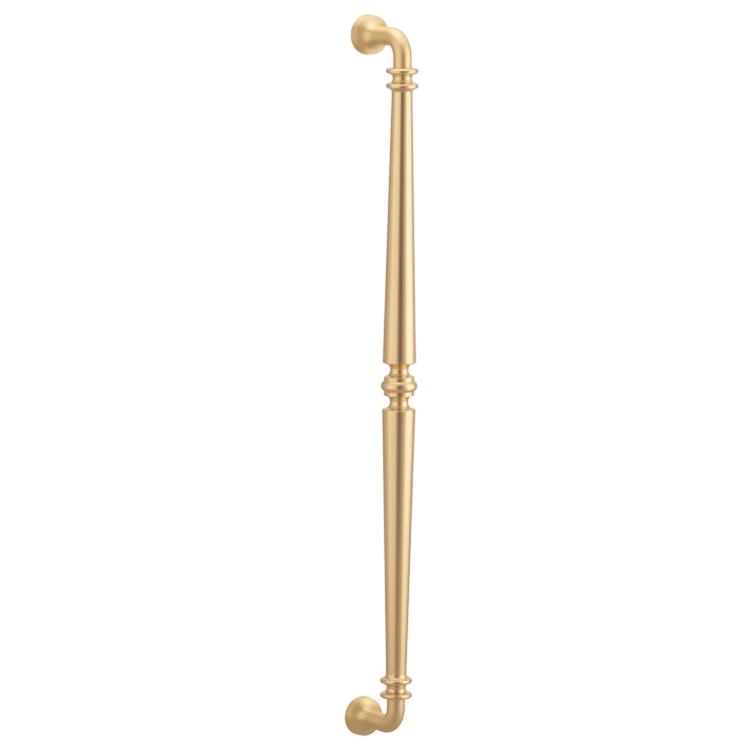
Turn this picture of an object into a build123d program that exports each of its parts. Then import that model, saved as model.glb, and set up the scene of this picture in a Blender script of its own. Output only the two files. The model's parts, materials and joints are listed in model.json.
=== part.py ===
from build123d import *
import os
from math import radians, tan

# Door pull: a turned grip bar held off the door by two cast elbow posts.
# +Z runs up the bar, the door face is the plane Y = 0 and the pull stands out towards -Y.
# The origin lies on the door face, midway between the two fixing holes. Lengths are in millimetres.

# Overall layout
fixing_spacing = 457.2  # between the two fixing holes, 18 inches
bar_standoff = 42.5  # door face to the axis of the grip bar
drop_length = 19.95  # axis of the arm to the end of the grip bar

# Elbow post
post_diameter = 12.3
bend_radius = 13.3  # at the centreline of the elbow

# Foot, cast in one piece with the elbow post
foot_back_diameter = 26.7
foot_front_diameter = 25.8
foot_rim_height = 6.15
foot_rim_radius = 0.3  # easing of the rim's front edge
foot_cone_angle = 32.0  # slope of the cone from the door face, in degrees
foot_blend_radius = 8.0  # hollow curve from the cone into the arm

# Tapped hole in the back of each foot, for an M6 bolt through the door
fixing_hole_diameter = 6.0  # the thread's outer size
fixing_hole_depth = 18.0

# Pair of collars at each end of the grip bar
collar_diameter = 21.6
collar_thickness = 3.6
collar_gap = 6.15  # cove between the two collars
collar_cove_diameter = 12.9

# Tapered barrels
barrel_small_diameter = 13.9
barrel_big_diameter = 22.4
barrel_fillet_length = 3.0  # hollow curve from the inner collar into the barrel
barrel_edge_radius = 1.0  # easing of the barrel's wide end
barrel_shoulder_flat = 0.075  # between that easing and the mouth of the groove

# Centre knuckle with its bead, between two grooves
groove_width = 8.8
groove_neck_diameter = 12.25
knuckle_length = 12.5
knuckle_diameter = 20.25
knuckle_edge_radius = 0.3
bead_diameter = 24.3
bead_height = 7.1

# M6 studs that screw the bar to the posts
stud_diameter = 6.0
stud_hole_clearance = 0.05  # all round the stud
stud_hole_mouth_diameter = 7.2
stud_hole_depth_in_bar = 15.0
stud_hole_depth_in_post = 9.0
stud_end_gap = 0.5  # between each end of the stud and the bottom of its hole
stud_chamfer = 0.7

# Worked out from the sizes above
fixing_height = fixing_spacing / 2
bar_end = fixing_height - drop_length
post_radius = post_diameter / 2
arm_length = bar_standoff - bend_radius
foot_back_radius = foot_back_diameter / 2
foot_front_radius = foot_front_diameter / 2
foot_cone_rise = (foot_front_radius - post_radius) * tan(radians(foot_cone_angle))
foot_cone_top = foot_rim_height + foot_cone_rise

collar_radius = collar_diameter / 2
collar_side_radius = collar_radius - collar_thickness / 2
outer_collar_inside = bar_end - collar_thickness
inner_collar_outside = outer_collar_inside - collar_gap
inner_collar_inside = inner_collar_outside - collar_thickness
barrel_top = inner_collar_inside - barrel_fillet_length

barrel_radius = barrel_big_diameter / 2
barrel_mouth_radius = barrel_radius - barrel_edge_radius - barrel_shoulder_flat
knuckle_radius = knuckle_diameter / 2
knuckle_half = knuckle_length / 2
groove_middle = knuckle_half + groove_width / 2
barrel_bottom = knuckle_half + groove_width

stud_hole_radius = stud_diameter / 2 + stud_hole_clearance
stud_bottom = bar_end - stud_hole_depth_in_bar + stud_end_gap
stud_top = bar_end + stud_hole_depth_in_post - stud_end_gap

upper_bar_end = Plane((0, -bar_standoff, bar_end), z_dir=(0, 0, 1))
lower_bar_end = Plane((0, -bar_standoff, -bar_end), z_dir=(0, 0, -1))
upper_post_end = Plane((0, -bar_standoff, bar_end), z_dir=(0, 0, -1))
upper_foot_back = Plane((0, 0, fixing_height), z_dir=(0, 1, 0))
arm_end = Plane((0, -arm_length, fixing_height), z_dir=(0, -1, 0))


with BuildPart() as upper_post:
    # Foot and arm, turned about the axis of the fixing hole
    with BuildSketch(Plane.XY.offset(fixing_height)):
        with BuildLine():
            flare = FilletPolyline(
                (foot_back_radius, 0),
                (foot_front_radius, -foot_rim_height),
                (post_radius, -foot_cone_top),
                (post_radius, -arm_length),
                radius=[foot_rim_radius, foot_blend_radius],
            )
            Polyline(flare @ 1, (0, -arm_length), (0, 0), flare @ 0)
        make_face()
    revolve(axis=Axis((0, 0, fixing_height), (0, 1, 0)))

    # Elbow and the short drop to the end of the bar
    with BuildLine(Plane.YZ):
        elbow = JernArc((-arm_length, fixing_height), tangent=(-1, 0), radius=bend_radius, arc_size=90)
        Line(elbow @ 1, (-bar_standoff, bar_end))
    with BuildSketch(arm_end):
        Circle(post_radius)
    sweep()

    with Locations(upper_foot_back):
        Hole(radius=fixing_hole_diameter / 2, depth=fixing_hole_depth)
    with Locations(upper_post_end):
        CounterSinkHole(
            radius=stud_hole_radius,
            counter_sink_radius=stud_hole_mouth_diameter / 2,
            depth=stud_hole_depth_in_post,
            counter_sink_angle=90,
        )


with BuildPart() as lower_post:
    mirror(upper_post.part, about=Plane.XY)


with BuildPart() as grip_bar:
    # Upper half of the turned profile, from the middle of the bead to the end of the bar
    with BuildSketch(Plane.XZ.offset(bar_standoff)):
        with BuildLine():
            bead = TangentArc((bead_diameter / 2, 0), (knuckle_radius, bead_height / 2), tangent=(0, 1))
            band = Line(bead @ 1, (knuckle_radius, knuckle_half))
            groove = ThreePointArc(
                band @ 1,
                (groove_neck_diameter / 2, groove_middle),
                (barrel_mouth_radius, barrel_bottom),
            )
            barrel = FilletPolyline(
                groove @ 1,
                (barrel_radius, barrel_bottom),
                (barrel_small_diameter / 2, barrel_top),
                radius=barrel_edge_radius,
            )
            barrel_fillet = TangentArc(
                barrel @ 1,
                (collar_side_radius, inner_collar_inside),
                tangent=barrel % 1,
            )
            inner_collar = ThreePointArc(
                barrel_fillet @ 1,
                (collar_radius, inner_collar_inside + collar_thickness / 2),
                (collar_side_radius, inner_collar_outside),
            )
            cove = ThreePointArc(
                inner_collar @ 1,
                (collar_cove_diameter / 2, inner_collar_outside + collar_gap / 2),
                (collar_side_radius, outer_collar_inside),
            )
            outer_collar = ThreePointArc(
                cove @ 1,
                (collar_radius, outer_collar_inside + collar_thickness / 2),
                (collar_side_radius, bar_end),
            )
            Polyline(outer_collar @ 1, (0, bar_end), (0, 0), bead @ 0)
        half_profile = make_face()
        knuckle_corner = half_profile.vertices().sort_by_distance((knuckle_radius, knuckle_half))[0]
        fillet(knuckle_corner, knuckle_edge_radius)
        mirror(about=Plane.XZ)
    revolve(axis=Axis((0, -bar_standoff, 0), (0, 0, 1)))

    with Locations(upper_bar_end, lower_bar_end):
        CounterSinkHole(
            radius=stud_hole_radius,
            counter_sink_radius=stud_hole_mouth_diameter / 2,
            depth=stud_hole_depth_in_bar,
            counter_sink_angle=90,
        )


with BuildPart() as upper_stud:
    with BuildSketch(Plane.XY.offset(stud_bottom)):
        with Locations((0, -bar_standoff)):
            Circle(stud_diameter / 2)
    extrude(amount=stud_top - stud_bottom)
    chamfer(upper_stud.edges().filter_by(GeomType.CIRCLE), stud_chamfer)


with BuildPart() as lower_stud:
    mirror(upper_stud.part, about=Plane.XY)


pieces = {
    "upper_post": upper_post,
    "lower_post": lower_post,
    "grip_bar": grip_bar,
    "upper_stud": upper_stud,
    "lower_stud": lower_stud,
}
os.makedirs("parts", exist_ok=True)
for name, piece in pieces.items():
    piece.part.label = name
    export_step(piece.part, f"parts/{name}.step")
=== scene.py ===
import json
import math

import bpy
from mathutils import Matrix, Vector


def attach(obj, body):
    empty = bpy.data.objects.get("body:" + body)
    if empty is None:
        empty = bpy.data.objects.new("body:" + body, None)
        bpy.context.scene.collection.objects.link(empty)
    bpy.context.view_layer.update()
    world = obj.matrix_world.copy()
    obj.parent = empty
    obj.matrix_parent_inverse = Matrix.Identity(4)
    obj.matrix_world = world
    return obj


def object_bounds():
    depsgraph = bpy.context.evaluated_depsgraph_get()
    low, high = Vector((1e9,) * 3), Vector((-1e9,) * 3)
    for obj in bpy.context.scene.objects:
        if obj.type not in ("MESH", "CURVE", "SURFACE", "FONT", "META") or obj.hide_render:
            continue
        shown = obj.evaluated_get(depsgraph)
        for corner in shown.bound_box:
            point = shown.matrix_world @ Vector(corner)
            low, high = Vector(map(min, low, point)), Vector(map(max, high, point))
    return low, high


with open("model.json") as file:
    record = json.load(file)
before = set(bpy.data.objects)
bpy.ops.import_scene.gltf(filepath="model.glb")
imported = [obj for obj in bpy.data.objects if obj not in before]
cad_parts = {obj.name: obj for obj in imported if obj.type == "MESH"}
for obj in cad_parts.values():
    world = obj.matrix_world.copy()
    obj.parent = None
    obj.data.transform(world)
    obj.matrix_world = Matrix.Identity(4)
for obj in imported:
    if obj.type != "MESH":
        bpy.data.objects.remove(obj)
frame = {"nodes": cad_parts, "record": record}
cad_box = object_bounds()
nodes = frame["nodes"]
scene = bpy.context.scene

# Camera, in metres and degrees: where it stands round the pull, and how far its aim lies from the origin
IMAGE_SIZE = 750
SENSOR_WIDTH = 36.0
FOCAL_PIXELS = 4234.1
CAMERA_DISTANCE = 2.819455
CAMERA_AZIMUTH = 32.6995
CAMERA_ELEVATION = 7.3605
CAMERA_ROLL = 0.54236
CAMERA_REACH = 160.0
AIM_RIGHT = 0.0070609
AIM_UP = 0.0023409

# Tone: each channel answers to light as 1 - exp(-light), then runs up to the level that shows as white
WHITE_LEVEL = 2.7
TONE_STOPS = (0.1, 0.2, 0.32, 0.46, 0.62, 0.8, 1.0, 1.22, 1.46, 1.72, 2.0, 2.25)
COMBINED_CURVE = 3  # the one that all channels share

# Light tent round the pull, open below, in metres
TENT_RADIUS = 0.5
TENT_TOP = 0.5
TENT_BOTTOM = -1.5
TENT_CORNERS = 96
LIGHT_COLOR = (1.294, 0.952, 0.69)

# Light on the tent's wall at mid height, by degrees turned from the camera's side to its right
WALL_MIDDLE = (
    (-180, 1.1), (-160, 0.92), (-130, 0.44), (-110, 0.67), (-95, 0.75), (-82, 0.94), (-70, 1.39),
    (-58, 1.81), (-46, 1.47), (-34, 1.53), (-23, 1.44), (-13, 0.78), (-4, 0.24), (5, 0.11),
    (14, 0.15), (24, 0.52), (34, 0.68), (44, 1.43), (54, 3.04), (64, 3.76), (76, 3.76),
    (90, 2.86), (106, 1.35), (126, 0.64), (152, 1.1), (176, 1.1), (180, 1.1),
)

# Share of that light at each height, left and right of the camera; the rest is the light low on the wall
LEFT_RISE = ((-0.6, 0), (-0.4, 0), (-0.2, 0.91), (0, 1), (0.2, 1.2), (0.45, 0.97))
RIGHT_RISE = ((-0.6, 0), (-0.4, 0.17), (-0.2, 0.51), (0, 1), (0.2, 0.96), (0.45, 0.44))
SIDE_SOFTNESS = 0.05
WALL_LOW = 0.5

# Light on the tent's top: an even part, a glow, and slants to the camera's right and towards the camera
TOP_BASE = 1.1
TOP_GLOW = 3.4
TOP_GLOW_PLACE = (-0.048, 0.043)
TOP_GLOW_SIZE = (0.221, 0.184)
TOP_SIDEWAYS = 1.14
TOP_FORWARD = -1.84

# Floor, a pale sheet far larger than the view
FLOOR_RADIUS = 40.0
FLOOR_CORNERS = 96
FLOOR_LIGHT = 2.75

# Metals
BAR_COLOR = (0.804, 0.637, 0.395)
BAR_ROUGHNESS = 0.3
BAR_BRUSHING = 0.65
POST_COLOR = (0.798, 0.618, 0.355)
POST_ROUGHNESS = 0.43
POST_BRUSHING = 0.58
STEEL_COLOR = (0.56, 0.55, 0.53)
STEEL_ROUGHNESS = 0.35

# Grain in cells per metre: turned lines run round the bar, and the cast posts have an even satin grain
TURNED_SCALE = (90, 90, 4200)
TURNED_DEPTH = 0.000002
CAST_SCALE = (1600, 1600, 1600)
CAST_DEPTH = 0.000004
GRAIN_DETAIL = 3.0
GRAIN_GLOSS = 0.08

# Faint patches all over the metal
PATCH_SCALE = (38, 38, 38)
PATCH_DETAIL = 2.0
PATCH_SHADE = 0.03
PATCH_GLOSS = 0.05
NOISE_MIDDLE = 0.5

# Brushing round the posts. The bend's centre lies so far out from the door and up or down from the middle
BEND_OUT = 0.0292
BEND_UP = 0.2153
SMALL_LENGTH = 0.00001  # keeps the direction of the arm where the height above the bend runs out
BACK_FACE_LEAN = 0.05  # turns the arm's direction a little off the foot's flat back
QUARTER_TURN = 0.25  # the gloss spreads across the brushed lines

# Cut thread of the fixing holes, in metres. The section is (rise from the wall, place along the hole)
THREAD_PITCH = 0.001
THREAD_START = 0.0004
THREAD_TURNS = 16
THREAD_STEPS = 48
THREAD_GAP = 0.00001
THREAD_END_SHARE = 0.05
THREAD_SECTION = ((0, 0), (0.00048, 0.00034), (0.00048, 0.00046), (0, 0.0008))

TO_CAMERA = (-math.sin(math.radians(CAMERA_AZIMUTH)), -math.cos(math.radians(CAMERA_AZIMUTH)), 0)
TO_RIGHT = (-TO_CAMERA[1], TO_CAMERA[0], 0)


def camera_axes():
    turn = math.radians(CAMERA_AZIMUTH)
    lift = math.radians(CAMERA_ELEVATION)
    roll = math.radians(CAMERA_ROLL)
    back = Vector((-math.sin(turn) * math.cos(lift), -math.cos(turn) * math.cos(lift), math.sin(lift)))
    level_right = Vector((math.cos(turn), -math.sin(turn), 0))
    level_up = back.cross(level_right)
    right = level_right * math.cos(roll) + level_up * math.sin(roll)
    up = level_up * math.cos(roll) - level_right * math.sin(roll)
    return right, up, back


def add_camera():
    right, up, back = camera_axes()
    data = bpy.data.cameras.new("photo_camera")
    data.sensor_width = SENSOR_WIDTH
    data.lens = FOCAL_PIXELS / IMAGE_SIZE * SENSOR_WIDTH
    data.clip_end = CAMERA_REACH
    camera = bpy.data.objects.new("photo_camera", data)
    pose = Matrix((right, up, back)).transposed().to_4x4()
    pose.translation = back * CAMERA_DISTANCE + right * AIM_RIGHT + up * AIM_UP
    camera.matrix_world = pose
    scene.collection.objects.link(camera)
    scene.camera = camera


def set_tone():
    view = scene.view_settings
    view.view_transform = "Standard"
    view.look = "None"
    view.exposure = 0.0
    view.gamma = 1.0
    view.use_curve_mapping = True
    mapping = view.curve_mapping
    mapping.white_level = (WHITE_LEVEL, WHITE_LEVEL, WHITE_LEVEL)
    points = mapping.curves[COMBINED_CURVE].points
    for light in TONE_STOPS:
        points.new(light / WHITE_LEVEL, 1 - math.exp(-light))
    mapping.update()


class Graph:
    """Short calls for the nodes that the world and the materials are made of."""

    def __init__(self, tree):
        self.tree = tree
        tree.nodes.clear()

    def add(self, kind, **settings):
        node = self.tree.nodes.new(kind)
        for name, value in settings.items():
            setattr(node, name, value)
        return node

    def put(self, socket, value):
        if isinstance(value, bpy.types.NodeSocket):
            self.tree.links.new(value, socket)
        else:
            socket.default_value = value

    def math(self, operation, first, second=None):
        node = self.add("ShaderNodeMath", operation=operation)
        self.put(node.inputs[0], first)
        if second is not None:
            self.put(node.inputs[1], second)
        return node.outputs[0]

    def vector_math(self, operation, first, second=None):
        node = self.add("ShaderNodeVectorMath", operation=operation)
        self.put(node.inputs[0], first)
        if second is not None:
            self.put(node.inputs[1], second)
        return node.outputs["Value" if operation == "DOT_PRODUCT" else "Vector"]

    def product(self, *values):
        result = values[0]
        for value in values[1:]:
            result = self.math("MULTIPLY", result, value)
        return result

    def total(self, *values):
        result = values[0]
        for value in values[1:]:
            result = self.math("ADD", result, value)
        return result

    def blend(self, share, first, second):
        """Goes from the first value to the second as the share goes from 0 to 1."""
        rest = self.math("SUBTRACT", 1.0, share)
        return self.total(self.product(rest, first), self.product(share, second))

    def step(self, value, at, soft):
        """Rises smoothly from 0 to 1 around a value."""
        node = self.add("ShaderNodeMapRange", interpolation_type="SMOOTHSTEP")
        self.put(node.inputs["Value"], value)
        self.put(node.inputs["From Min"], at - soft)
        self.put(node.inputs["From Max"], at + soft)
        return node.outputs["Result"]

    def curve(self, value, stops):
        """Smooth curve through (place, level) stops."""
        first, last = stops[0][0], stops[-1][0]
        peak = max(level for place, level in stops)
        node = self.add("ShaderNodeFloatCurve")
        points = node.mapping.curves[0].points
        while len(points) < len(stops):
            points.new(0.5, 0.5)
        for point, (place, level) in zip(points, stops):
            point.location = ((place - first) / (last - first), level / peak)
            point.handle_type = "AUTO_CLAMPED"
        node.mapping.update()
        share = self.add("ShaderNodeMapRange")
        self.put(share.inputs["Value"], value)
        self.put(share.inputs["From Min"], first)
        self.put(share.inputs["From Max"], last)
        self.put(node.inputs["Value"], share.outputs["Result"])
        return self.product(node.outputs[0], peak)


def circle(radius, corners, height):
    step = 2 * math.pi / corners
    return [(radius * math.cos(i * step), radius * math.sin(i * step), height) for i in range(corners)]


def new_material(name):
    material = bpy.data.materials.new(name)
    material.use_nodes = True
    return material, Graph(material.node_tree)


def add_object(name, points, faces, material):
    mesh = bpy.data.meshes.new(name)
    mesh.from_pydata(points, [], faces)
    mesh.materials.append(material)
    piece = bpy.data.objects.new(name, mesh)
    scene.collection.objects.link(piece)
    return piece


def add_tent_piece(name, points, faces, light):
    """Part of the light tent. It glows as its graph works out, and the camera looks through it."""
    material, g = new_material(name)
    glow = g.add("ShaderNodeEmission")
    glow.inputs["Color"].default_value = (*LIGHT_COLOR, 1)
    g.put(glow.inputs["Strength"], light(g, g.add("ShaderNodeNewGeometry").outputs["Position"]))
    g.put(g.add("ShaderNodeOutputMaterial").inputs[0], glow.outputs[0])
    material.cycles.emission_sampling = "NONE"
    piece = add_object(name, points, faces, material)
    piece.visible_camera = False


def wall_light(g, place):
    across = g.vector_math("DOT_PRODUCT", place, TO_RIGHT)
    ahead = g.vector_math("DOT_PRODUCT", place, TO_CAMERA)
    height = g.vector_math("DOT_PRODUCT", place, (0, 0, 1))
    turn = g.math("DEGREES", g.math("ARCTAN2", across, ahead))
    side = g.step(across, 0.0, SIDE_SOFTNESS)
    rise = g.blend(side, g.curve(height, LEFT_RISE), g.curve(height, RIGHT_RISE))
    return g.blend(rise, WALL_LOW, g.curve(turn, WALL_MIDDLE))


def top_light(g, place):
    across = g.vector_math("DOT_PRODUCT", place, TO_RIGHT)
    ahead = g.vector_math("DOT_PRODUCT", place, TO_CAMERA)
    off_across = g.product(g.math("SUBTRACT", across, TOP_GLOW_PLACE[0]), 1 / TOP_GLOW_SIZE[0])
    off_ahead = g.product(g.math("SUBTRACT", ahead, TOP_GLOW_PLACE[1]), 1 / TOP_GLOW_SIZE[1])
    spread = g.total(g.product(off_across, off_across), g.product(off_ahead, off_ahead))
    glow = g.math("EXPONENT", g.product(spread, -1.0))
    slant = g.total(g.product(across, TOP_SIDEWAYS), g.product(ahead, TOP_FORWARD))
    return g.math("MAXIMUM", g.total(TOP_BASE, g.product(glow, TOP_GLOW), slant), 0.0)


def add_light_tent():
    low = circle(TENT_RADIUS, TENT_CORNERS, TENT_BOTTOM)
    high = circle(TENT_RADIUS, TENT_CORNERS, TENT_TOP)
    sides = []
    for i in range(TENT_CORNERS):
        after = (i + 1) % TENT_CORNERS
        sides.append((i, after, after + TENT_CORNERS, i + TENT_CORNERS))
    add_tent_piece("tent_wall", low + high, sides, wall_light)
    add_tent_piece("tent_top", high, [list(range(TENT_CORNERS))], top_light)


def add_surround():
    """White behind the pull for the camera, and the dim ground below the tent for reflections."""
    world = bpy.data.worlds.new("studio")
    scene.world = world
    world.use_nodes = True
    g = Graph(world.node_tree)
    ground = g.add("ShaderNodeBackground")
    ground.inputs["Color"].default_value = (*LIGHT_COLOR, 1)
    ground.inputs["Strength"].default_value = WALL_LOW
    backdrop = g.add("ShaderNodeBackground")
    backdrop.inputs["Color"].default_value = (1, 1, 1, 1)
    backdrop.inputs["Strength"].default_value = FLOOR_LIGHT
    mix = g.add("ShaderNodeMixShader")
    g.put(mix.inputs[0], g.add("ShaderNodeLightPath").outputs["Is Camera Ray"])
    g.put(mix.inputs[1], ground.outputs[0])
    g.put(mix.inputs[2], backdrop.outputs[0])
    g.put(g.add("ShaderNodeOutputWorld").inputs[0], mix.outputs[0])


def add_floor():
    """White sheet under the pull. The metal doesn't reflect it, as if the pull hung in the light tent."""
    material, g = new_material("pale_floor")
    glow = g.add("ShaderNodeEmission")
    glow.inputs["Strength"].default_value = FLOOR_LIGHT
    g.put(g.add("ShaderNodeOutputMaterial").inputs[0], glow.outputs[0])
    lowest = cad_box[0][2]
    rim = circle(FLOOR_RADIUS, FLOOR_CORNERS, lowest)
    floor = add_object("floor", rim, [list(range(FLOOR_CORNERS))], material)
    floor.visible_glossy = False


def noise(g, place, scale, detail):
    """Noise between 0 and 1 over the surface; scale gives cells per metre along X, Y and Z."""
    texture = g.add("ShaderNodeTexNoise")
    g.put(texture.inputs["Vector"], g.vector_math("MULTIPLY", place, scale))
    texture.inputs["Scale"].default_value = 1.0
    texture.inputs["Detail"].default_value = detail
    return texture.outputs["Fac"]


def around_bar(g, place):
    """Direction round the bar at each point of it."""
    return g.add("ShaderNodeTangent", direction_type="RADIAL", axis="Z").outputs[0]


def around_post(g, place):
    """Direction round the post at each point of its foot, arm, elbow and drop."""
    parts = g.add("ShaderNodeSeparateXYZ")
    g.put(parts.inputs[0], place)
    height = parts.outputs["Z"]
    past_bend = g.math("MINIMUM", g.total(parts.outputs["Y"], BEND_OUT), 0.0)
    above_bend = g.math("MAXIMUM", g.math("SUBTRACT", g.math("ABSOLUTE", height), BEND_UP), SMALL_LENGTH)
    slope = g.product(past_bend, g.math("SIGN", height), -1.0)
    along = g.add("ShaderNodeCombineXYZ")
    g.put(along.inputs["Y"], above_bend)
    g.put(along.inputs["Z"], g.total(slope, g.product(above_bend, BACK_FACE_LEAN)))
    facing = g.add("ShaderNodeNewGeometry").outputs["Normal"]
    return g.vector_math("NORMALIZE", g.vector_math("CROSS_PRODUCT", along.outputs[0], facing))


def metal(name, color, roughness, grain_scale, grain_depth, brushing=0.0, around=None):
    """Metal with a fine grain and faint patches that vary its gloss. Brushed lines run round it."""
    material, g = new_material(name)
    place = g.add("ShaderNodeTexCoord").outputs["Object"]
    grain = noise(g, place, grain_scale, GRAIN_DETAIL)
    patches = noise(g, place, PATCH_SCALE, PATCH_DETAIL)
    tint = g.add("ShaderNodeMix", data_type="RGBA")
    g.put(tint.inputs["Factor"], patches)
    g.put(tint.inputs["A"], [level * (1 - PATCH_SHADE) for level in color] + [1])
    g.put(tint.inputs["B"], [level * (1 + PATCH_SHADE) for level in color] + [1])
    bump = g.add("ShaderNodeBump")
    bump.inputs["Strength"].default_value = 1.0
    bump.inputs["Distance"].default_value = grain_depth
    g.put(bump.inputs["Height"], grain)
    gloss = g.total(g.product(g.math("SUBTRACT", grain, NOISE_MIDDLE), GRAIN_GLOSS), roughness)
    gloss = g.total(gloss, g.product(g.math("SUBTRACT", patches, NOISE_MIDDLE), PATCH_GLOSS))
    shader = g.add("ShaderNodeBsdfPrincipled")
    shader.inputs["Metallic"].default_value = 1.0
    if brushing:
        shader.inputs["Anisotropic"].default_value = brushing
        shader.inputs["Anisotropic Rotation"].default_value = QUARTER_TURN
        g.put(shader.inputs["Tangent"], around(g, place))
    g.put(shader.inputs["Base Color"], tint.outputs["Result"])
    g.put(shader.inputs["Roughness"], gloss)
    g.put(shader.inputs["Normal"], bump.outputs["Normal"])
    g.put(g.add("ShaderNodeOutputMaterial").inputs[0], shader.outputs[0])
    return material


def dress(material, *names):
    for name in names:
        for slot in nodes[name].material_slots:
            slot.material = material


def add_thread(name, height, hole_radius, material):
    """Ridge of the cut thread that winds round the inside of a fixing hole."""
    points = []
    faces = []
    count = THREAD_TURNS * THREAD_STEPS
    half_turn = THREAD_STEPS / 2
    for i in range(count + 1):
        angle = 2 * math.pi * i / THREAD_STEPS
        depth = THREAD_START + THREAD_PITCH * i / THREAD_STEPS
        run_in = max(THREAD_END_SHARE, min(1.0, i / half_turn, (count - i) / half_turn))
        for rise, along in THREAD_SECTION:
            radius = hole_radius - THREAD_GAP - rise * run_in
            points.append((radius * math.cos(angle), -depth - along, height + radius * math.sin(angle)))
    size = len(THREAD_SECTION)
    for i in range(count):
        for k in range(size):
            after = (k + 1) % size
            faces.append((i * size + k, i * size + after, (i + 1) * size + after, (i + 1) * size + k))
    faces.append(tuple(reversed(range(size))))
    faces.append(tuple(count * size + k for k in range(size)))
    thread = add_object(name, points, faces, material)
    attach(thread, "root")


add_camera()
set_tone()
add_light_tent()
add_surround()
add_floor()

bar_brass = metal(
    "turned_brass_finish", BAR_COLOR, BAR_ROUGHNESS, TURNED_SCALE, TURNED_DEPTH, BAR_BRUSHING, around_bar
)
post_brass = metal(
    "cast_brass_finish", POST_COLOR, POST_ROUGHNESS, CAST_SCALE, CAST_DEPTH, POST_BRUSHING, around_post
)
steel = metal("stud_steel_finish", STEEL_COLOR, STEEL_ROUGHNESS, TURNED_SCALE, TURNED_DEPTH)
dress(bar_brass, "grip_bar")
dress(post_brass, "upper_post", "lower_post")
dress(steel, "upper_stud", "lower_stud")

# The fixing holes, as the record gives them in millimetres
mounts = {mount["name"]: mount for mount in frame["record"]["mounts"]}
fixing = mounts["door_bolts"]["dims"]
fixing_radius = fixing["hole_r_mm"] / 1000
fixing_height = fixing["spacing_y_mm"] / 2 / 1000
add_thread("upper_thread", fixing_height, fixing_radius, bar_brass)
add_thread("lower_thread", -fixing_height, fixing_radius, bar_brass)
